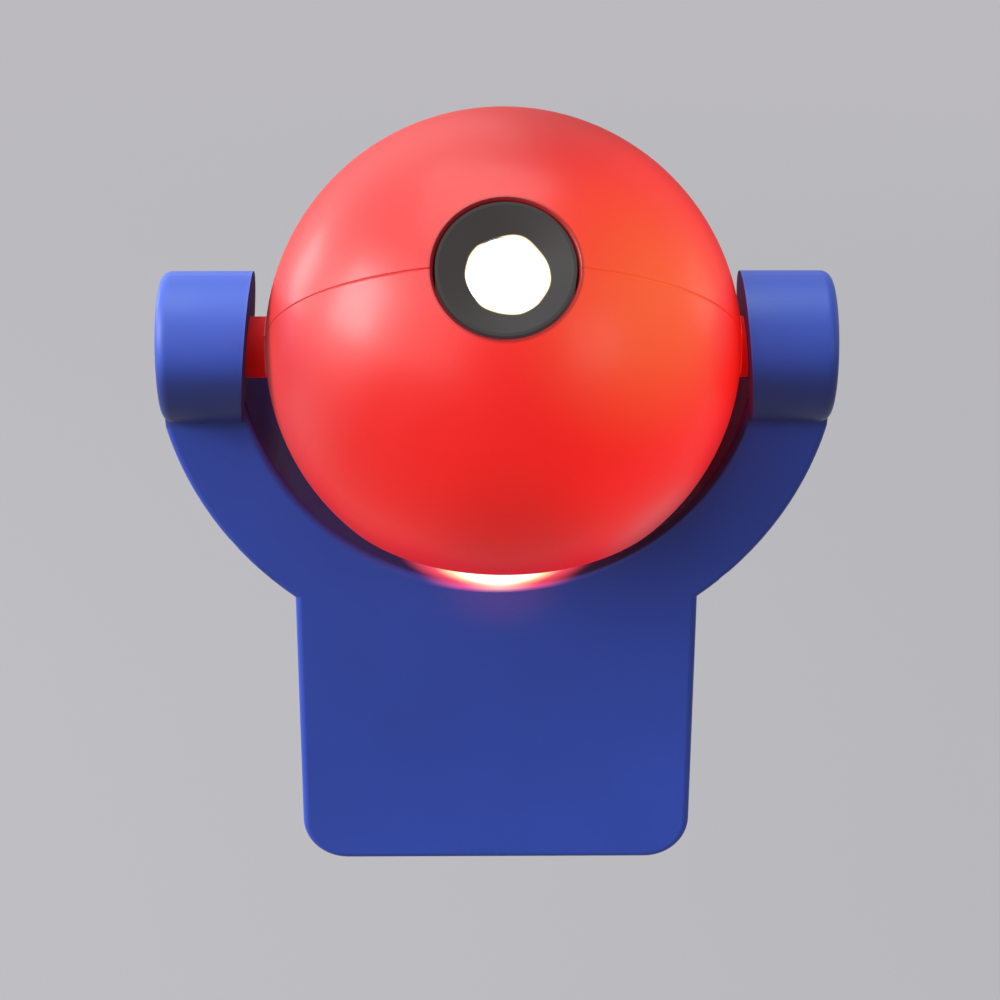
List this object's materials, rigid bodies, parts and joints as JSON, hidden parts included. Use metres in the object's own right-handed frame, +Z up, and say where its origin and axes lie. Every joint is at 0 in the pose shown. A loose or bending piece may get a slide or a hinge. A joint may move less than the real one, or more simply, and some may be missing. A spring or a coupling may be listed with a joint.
{
  "type": "plug in night light",
  "caption": "Projector night light that plugs into a wall socket, with a lens in a ball that tilts in a yoke.",
  "frame": {"origin": "centre of the end face of the plug's round body, between the two pins", "axes": "+Z up, +Y along the pins and into the wall, so the front of the light faces -Y; +X to the right as seen from the front"},
  "size_m": [0.073, 0.0905, 0.0905],
  "materials": {
    "yoke_blue": "satin moulded plastic, through-coloured",
    "plug_blue": "fine matte moulded plastic",
    "ball_red": "glossy moulded plastic",
    "bezel_black": "satin moulded plastic",
    "inner_black": "matte, to keep stray light down",
    "lens_clear": "polished clear acrylic",
    "slide_film": "tinted film, without a picture",
    "pin_nickel": "nickel plated",
    "contact_brass": "pressed strip",
    "board_green": "lacquered laminate",
    "screw_steel": "bright zinc",
    "capacitor_yellow": "cast box",
    "capacitor_black": "shrunk sleeve",
    "chip_black": "moulded resin",
    "resistor_tan": "lacquered",
    "sensor_amber": "cast resin",
    "window_clear": "clear insert",
    "post_white": "moulded plastic",
    "lamp_board_white": "white lacquer on metal",
    "led_yellow": "phosphor under clear silicone",
    "lead_red": "insulated wire",
    "ring_rubber": "matte"
  },
  "bodies": {
    "base": {"front_cover": "yoke_blue", "rear_housing": "yoke_blue", "plug_body": "plug_blue", "plug_pins": "pin_nickel", "pin_contacts": "contact_brass", "circuit_board": "board_green", "board_screws": "screw_steel", "film_capacitor": "capacitor_yellow", "filter_capacitor": "capacitor_black", "bridge_rectifier": "chip_black", "resistors": "resistor_tan", "light_sensor": "sensor_amber", "sensor_window": "window_clear", "lamp_post": "post_white", "post_screws": "screw_steel", "lamp_board": "lamp_board_white", "lamp_led": "led_yellow", "lamp_leads": "lead_red", "friction_rings": "ring_rubber", "cover_screws": "screw_steel"},
    "ball": {"upper_shell": "ball_red", "lower_shell": "ball_red", "shell_screws": "screw_steel", "light_tube": "inner_black", "condenser_lens": "lens_clear", "slide_spacer": "inner_black", "picture_slide": "slide_film", "slide_ring": "inner_black", "lens_barrel": "bezel_black", "front_lens": "lens_clear", "lens_retainer": "inner_black"}
  },
  "joints": [
    {"name": "ball_tilt", "type": "hinge", "parent": "base", "child": "ball", "pos_m": [0, -0.0455, 0.041], "axis": [-1, 0, 0], "range_deg": [-35, 30]}
  ]
}
